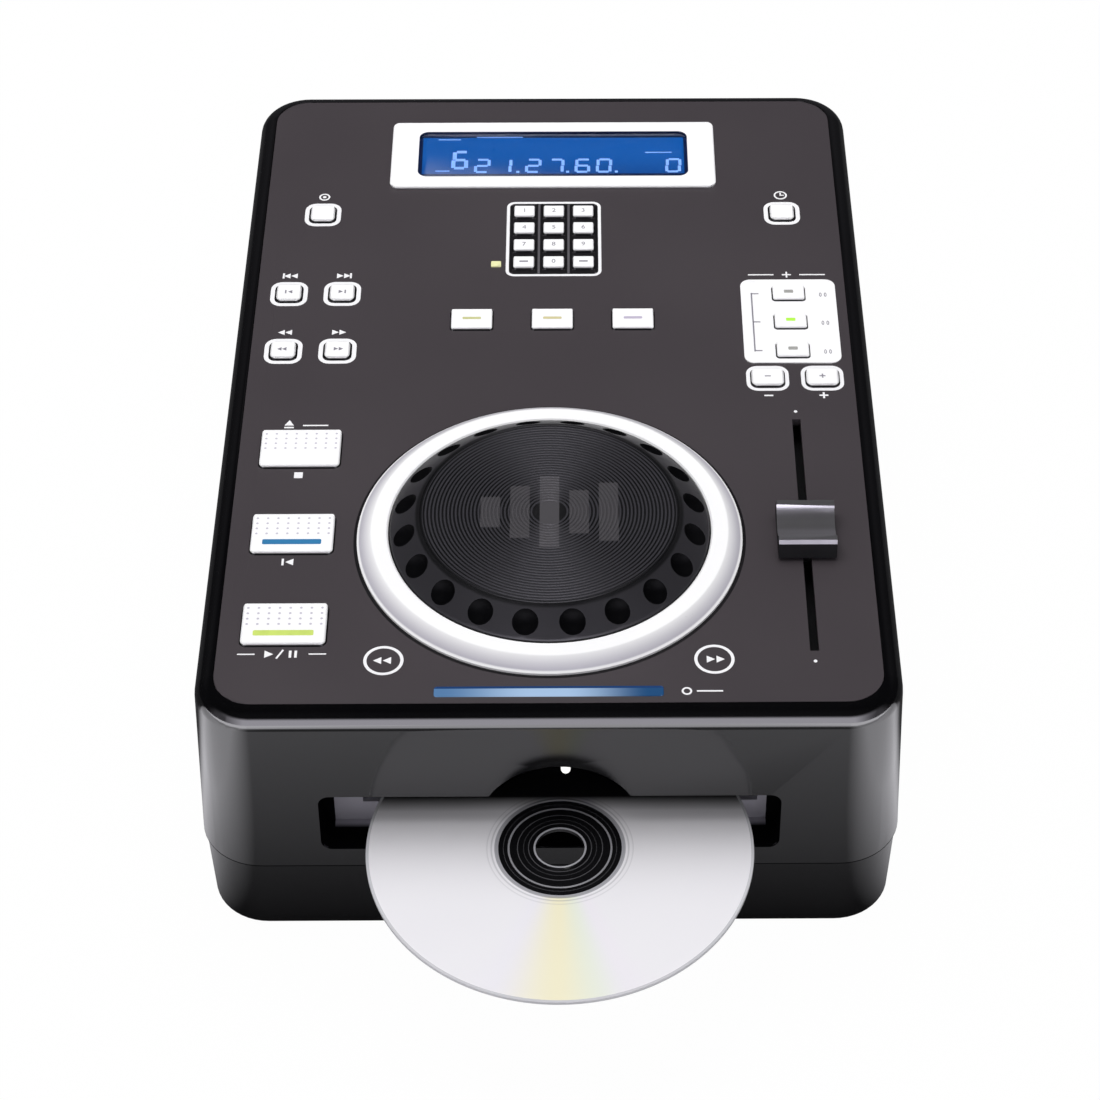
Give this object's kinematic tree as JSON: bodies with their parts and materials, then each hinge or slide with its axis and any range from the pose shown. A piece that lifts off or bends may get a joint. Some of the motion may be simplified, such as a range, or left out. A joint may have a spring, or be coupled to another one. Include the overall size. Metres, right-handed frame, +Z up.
{
  "type": "tabletop dj cd player",
  "caption": "Slot-loading tabletop DJ CD player with a large jog wheel, pitch fader, keypad, blue display and sprung buttons, its disc half ejected.",
  "frame": {"origin": "on the table, under the middle of the whole object's box, disc and sockets included", "axes": "+Z up, +Y to the rear with the sockets, -Y to the slot and the disc, +X to the right"},
  "size_m": [0.222, 0.4008, 0.109],
  "materials": {
    "housing_gloss": "gloss black moulded plastic",
    "housing_satin": "gloss black moulded plastic",
    "panel_grey": "fine matt dark grey paint",
    "rubber": "matt black rubber",
    "screw_steel": "blackened steel",
    "white_plastic": "satin white",
    "button_white": "satin white",
    "lens_blue": "clear blue window",
    "lcd": "lit blue liquid crystal panel",
    "ring_silver": "satin silver paint",
    "bright_steel": "ground steel",
    "jog_rubber": "black, grooved in fine rings",
    "black_plastic": "satin black",
    "knob_metal": "metallic grey",
    "sheet_steel": "zinc plated sheet",
    "light_blue": "clear blue light guide",
    "led_clear": "clear lamp",
    "circuit_board": "green solder mask",
    "felt": "black felt",
    "disc_silver": "mirror layer under clear plastic"
  },
  "bodies": {
    "housing": {"upper_housing": "housing_gloss", "lower_housing": "housing_satin", "feet": "rubber", "housing_screws": "screw_steel", "face_panel": "panel_grey", "display_bezel": "white_plastic", "display_lens": "lens_blue", "display_module": "lcd", "jog_ring": "ring_silver", "jog_spindle": "bright_steel", "pitch_plate": "white_plastic", "fader_body": "sheet_steel", "light_bar": "light_blue", "indicator_leds": "led_clear", "control_board": "circuit_board", "slot_felts": "felt", "drive_chassis": "sheet_steel", "main_board": "circuit_board", "power_supply": "circuit_board", "phono_sockets": "black_plastic", "power_inlet": "black_plastic"},
    "jog_wheel": {"jog_platter": "jog_rubber", "jog_encoder": "black_plastic"},
    "fader": {"fader_knob": "knob_metal"},
    "power_rocker": {"power_rocker": "black_plastic"},
    "disc": {"disc": "disc_silver"},
    "roller": {"loading_roller": "rubber"},
    "traverse": {"traverse_frame": "sheet_steel", "spindle_motor": "sheet_steel"},
    "turntable": {"turntable": "black_plastic"},
    "sled": {"laser_sled": "black_plastic"},
    "play_button": {"play_button": "button_white"},
    "cue_button": {"cue_button": "button_white"},
    "stop_button": {"stop_button": "button_white"},
    "mode_button_left": {"mode_button_left": "button_white"},
    "mode_button_centre": {"mode_button_centre": "button_white"},
    "mode_button_right": {"mode_button_right": "button_white"},
    "pitch_range_low": {"pitch_range_low": "button_white"},
    "pitch_range_mid": {"pitch_range_mid": "button_white"},
    "pitch_range_high": {"pitch_range_high": "button_white"},
    "key_1": {"key_1": "button_white"},
    "key_2": {"key_2": "button_white"},
    "key_3": {"key_3": "button_white"},
    "key_4": {"key_4": "button_white"},
    "key_5": {"key_5": "button_white"},
    "key_6": {"key_6": "button_white"},
    "key_7": {"key_7": "button_white"},
    "key_8": {"key_8": "button_white"},
    "key_9": {"key_9": "button_white"},
    "key_lower_left": {"key_lower_left": "button_white"},
    "key_0": {"key_0": "button_white"},
    "key_lower_right": {"key_lower_right": "button_white"},
    "search_back_button": {"search_back_button": "button_white"},
    "search_forward_button": {"search_forward_button": "button_white"},
    "skip_back_button": {"skip_back_button": "button_white"},
    "skip_forward_button": {"skip_forward_button": "button_white"},
    "single_button": {"single_button": "button_white"},
    "time_button": {"time_button": "button_white"},
    "bend_minus_button": {"bend_minus_button": "button_white"},
    "bend_plus_button": {"bend_plus_button": "button_white"}
  },
  "joints": [
    {"name": "jog_spin", "type": "hinge", "parent": "housing", "child": "jog_wheel", "pos_m": [0, -0.04965, 0.098], "axis": [0, 0, -1], "continuous": true},
    {"name": "fader_slide", "type": "slide", "parent": "housing", "child": "fader", "axis": [0, 1, 0], "range_m": [-0.047, 0.053]},
    {"name": "power_rocker_tilt", "type": "hinge", "parent": "housing", "child": "power_rocker", "pos_m": [0.0605, 0.18886, 0.0577], "axis": [1, 0, 0], "range_deg": [-16, 0]},
    {"name": "disc_slide", "type": "slide", "parent": "housing", "child": "disc", "axis": [0, 1, 0], "range_m": [0, 0.088]},
    {"name": "roller_spin", "type": "hinge", "parent": "housing", "child": "roller", "pos_m": [0.0031, -0.09336, 0.0452], "axis": [-1, 0, 0], "range_deg": [0, 1010]},
    {"name": "traverse_rise", "type": "slide", "parent": "housing", "child": "traverse", "axis": [0, 0, 1], "range_m": [0, 0.0029]},
    {"name": "turntable_spin", "type": "hinge", "parent": "traverse", "child": "turntable", "pos_m": [0.0031, -0.05236, 0.04], "axis": [0, 0, -1], "continuous": true},
    {"name": "sled_slide", "type": "slide", "parent": "traverse", "child": "sled", "axis": [0, 1, 0], "range_m": [0, 0.034]},
    {"name": "play_button_press", "type": "slide", "parent": "housing", "child": "play_button", "axis": [0, 0, -1], "range_m": [0, 0.0012], "stiffness_N_per_m": 900},
    {"name": "cue_button_press", "type": "slide", "parent": "housing", "child": "cue_button", "axis": [0, 0, -1], "range_m": [0, 0.0012], "stiffness_N_per_m": 900},
    {"name": "stop_button_press", "type": "slide", "parent": "housing", "child": "stop_button", "axis": [0, 0, -1], "range_m": [0, 0.0012], "stiffness_N_per_m": 900},
    {"name": "mode_button_left_press", "type": "slide", "parent": "housing", "child": "mode_button_left", "axis": [0, 0, -1], "range_m": [0, 0.0007], "stiffness_N_per_m": 900},
    {"name": "mode_button_centre_press", "type": "slide", "parent": "housing", "child": "mode_button_centre", "axis": [0, 0, -1], "range_m": [0, 0.0007], "stiffness_N_per_m": 900},
    {"name": "mode_button_right_press", "type": "slide", "parent": "housing", "child": "mode_button_right", "axis": [0, 0, -1], "range_m": [0, 0.0007], "stiffness_N_per_m": 900},
    {"name": "pitch_range_low_press", "type": "slide", "parent": "housing", "child": "pitch_range_low", "axis": [0, 0, -1], "range_m": [0, 0.0007], "stiffness_N_per_m": 900},
    {"name": "pitch_range_mid_press", "type": "slide", "parent": "housing", "child": "pitch_range_mid", "axis": [0, 0, -1], "range_m": [0, 0.0007], "stiffness_N_per_m": 900},
    {"name": "pitch_range_high_press", "type": "slide", "parent": "housing", "child": "pitch_range_high", "axis": [0, 0, -1], "range_m": [0, 0.0007], "stiffness_N_per_m": 900},
    {"name": "key_1_press", "type": "slide", "parent": "housing", "child": "key_1", "axis": [0, 0, -1], "range_m": [0, 0.0007], "stiffness_N_per_m": 900},
    {"name": "key_2_press", "type": "slide", "parent": "housing", "child": "key_2", "axis": [0, 0, -1], "range_m": [0, 0.0007], "stiffness_N_per_m": 900},
    {"name": "key_3_press", "type": "slide", "parent": "housing", "child": "key_3", "axis": [0, 0, -1], "range_m": [0, 0.0007], "stiffness_N_per_m": 900},
    {"name": "key_4_press", "type": "slide", "parent": "housing", "child": "key_4", "axis": [0, 0, -1], "range_m": [0, 0.0007], "stiffness_N_per_m": 900},
    {"name": "key_5_press", "type": "slide", "parent": "housing", "child": "key_5", "axis": [0, 0, -1], "range_m": [0, 0.0007], "stiffness_N_per_m": 900},
    {"name": "key_6_press", "type": "slide", "parent": "housing", "child": "key_6", "axis": [0, 0, -1], "range_m": [0, 0.0007], "stiffness_N_per_m": 900},
    {"name": "key_7_press", "type": "slide", "parent": "housing", "child": "key_7", "axis": [0, 0, -1], "range_m": [0, 0.0007], "stiffness_N_per_m": 900},
    {"name": "key_8_press", "type": "slide", "parent": "housing", "child": "key_8", "axis": [0, 0, -1], "range_m": [0, 0.0007], "stiffness_N_per_m": 900},
    {"name": "key_9_press", "type": "slide", "parent": "housing", "child": "key_9", "axis": [0, 0, -1], "range_m": [0, 0.0007], "stiffness_N_per_m": 900},
    {"name": "key_lower_left_press", "type": "slide", "parent": "housing", "child": "key_lower_left", "axis": [0, 0, -1], "range_m": [0, 0.0007], "stiffness_N_per_m": 900},
    {"name": "key_0_press", "type": "slide", "parent": "housing", "child": "key_0", "axis": [0, 0, -1], "range_m": [0, 0.0007], "stiffness_N_per_m": 900},
    {"name": "key_lower_right_press", "type": "slide", "parent": "housing", "child": "key_lower_right", "axis": [0, 0, -1], "range_m": [0, 0.0007], "stiffness_N_per_m": 900},
    {"name": "search_back_button_press", "type": "slide", "parent": "housing", "child": "search_back_button", "axis": [0, 0, -1], "range_m": [0, 0.0007], "stiffness_N_per_m": 900},
    {"name": "search_forward_button_press", "type": "slide", "parent": "housing", "child": "search_forward_button", "axis": [0, 0, -1], "range_m": [0, 0.0007], "stiffness_N_per_m": 900},
    {"name": "skip_back_button_press", "type": "slide", "parent": "housing", "child": "skip_back_button", "axis": [0, 0, -1], "range_m": [0, 0.0007], "stiffness_N_per_m": 900},
    {"name": "skip_forward_button_press", "type": "slide", "parent": "housing", "child": "skip_forward_button", "axis": [0, 0, -1], "range_m": [0, 0.0007], "stiffness_N_per_m": 900},
    {"name": "single_button_press", "type": "slide", "parent": "housing", "child": "single_button", "axis": [0, 0, -1], "range_m": [0, 0.0007], "stiffness_N_per_m": 900},
    {"name": "time_button_press", "type": "slide", "parent": "housing", "child": "time_button", "axis": [0, 0, -1], "range_m": [0, 0.0007], "stiffness_N_per_m": 900},
    {"name": "bend_minus_button_press", "type": "slide", "parent": "housing", "child": "bend_minus_button", "axis": [0, 0, -1], "range_m": [0, 0.0007], "stiffness_N_per_m": 900},
    {"name": "bend_plus_button_press", "type": "slide", "parent": "housing", "child": "bend_plus_button", "axis": [0, 0, -1], "range_m": [0, 0.0007], "stiffness_N_per_m": 900}
  ],
  "couplings": [
    {"joint": "roller_spin", "follows": "disc_slide", "rad_per_m": 200}
  ]
}
